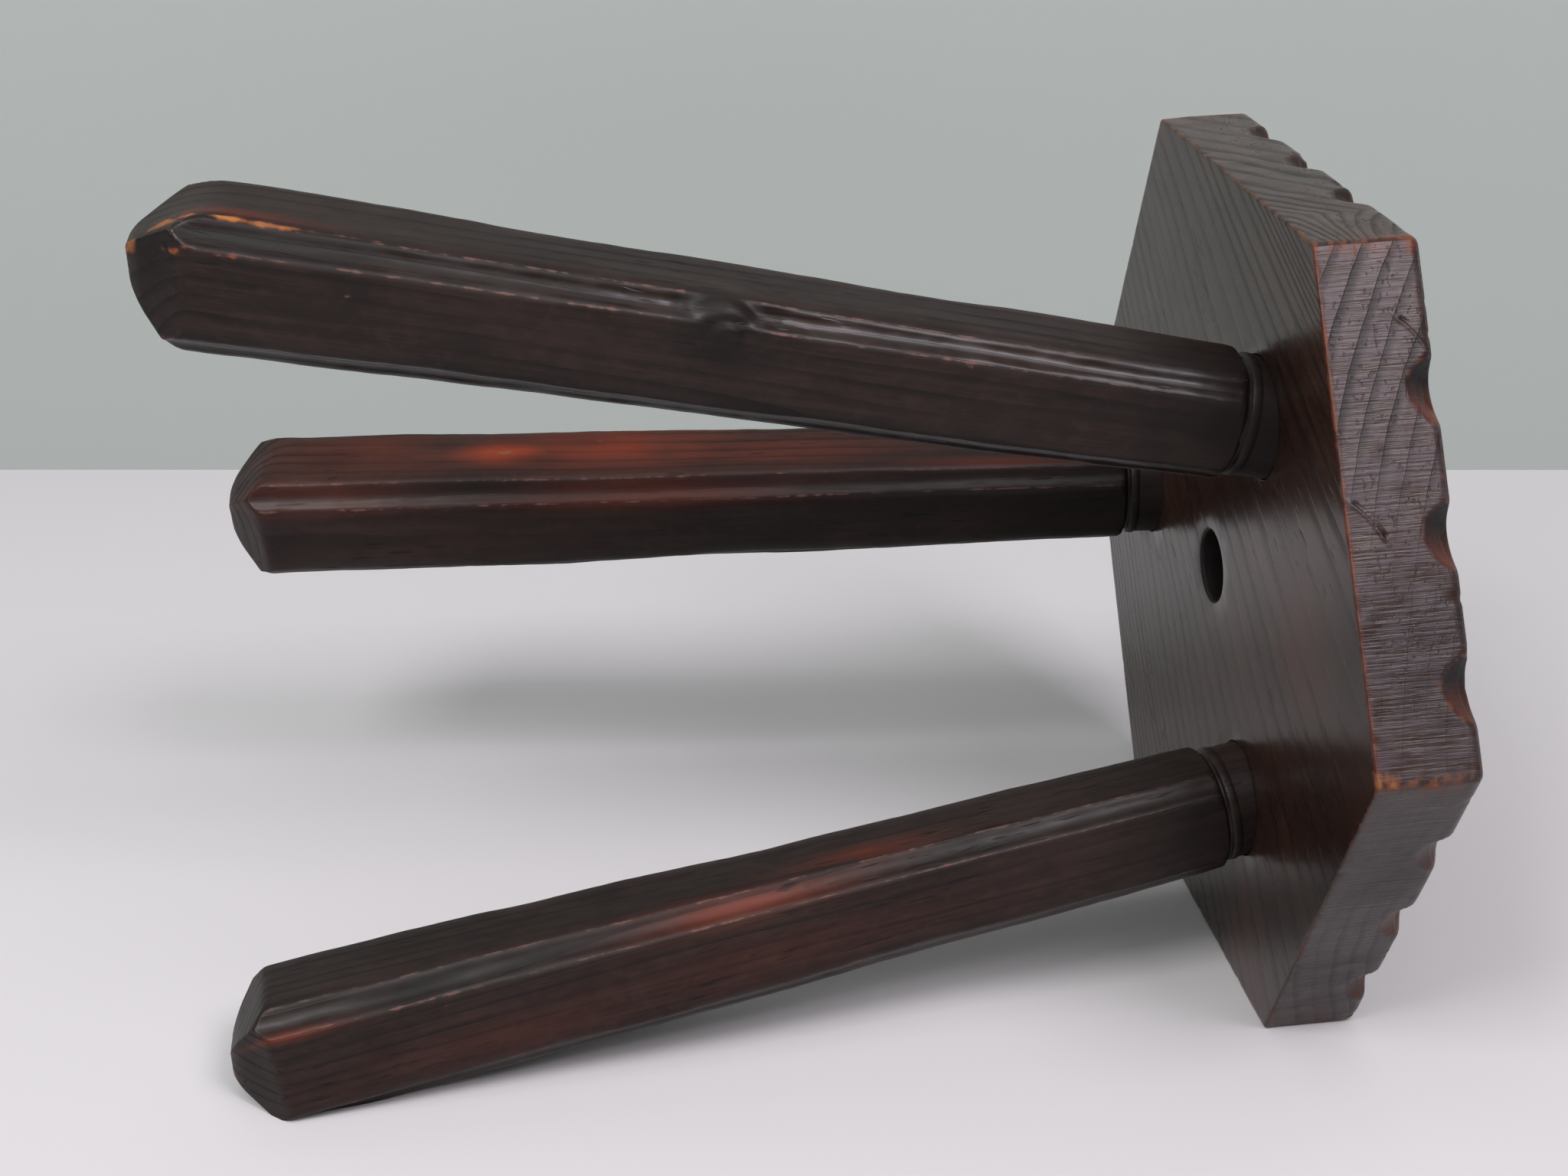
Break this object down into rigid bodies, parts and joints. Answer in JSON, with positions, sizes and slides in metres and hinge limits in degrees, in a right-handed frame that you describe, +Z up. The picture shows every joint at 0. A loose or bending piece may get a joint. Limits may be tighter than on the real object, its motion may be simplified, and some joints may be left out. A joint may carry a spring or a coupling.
{
  "type": "three-legged hexagonal stool",
  "caption": "Low staked wooden stool: thick hexagonal seat with gouged edge notches and a finger hole, tapered square legs with fluted corners and turned necks.",
  "frame": {"origin": "on the floor, under the middle of the seat's finger hole", "axes": "+Z up through the finger hole, +X towards the seat corner above the right leg"},
  "size_m": [0.3607, 0.314, 0.425],
  "materials": {
    "seat_wood": "dark brown stain under satin wax",
    "leg_wood": "dark red-brown stain under satin wax, worn at the arrises",
    "wedge_wood": "brown stained hardwood"
  },
  "bodies": {
    "root": {"seat": "seat_wood", "leg_right": "leg_wood", "leg_back": "leg_wood", "leg_front": "leg_wood", "wedge_right": "wedge_wood", "wedge_back": "wedge_wood", "wedge_front": "wedge_wood"}
  },
  "joints": []
}
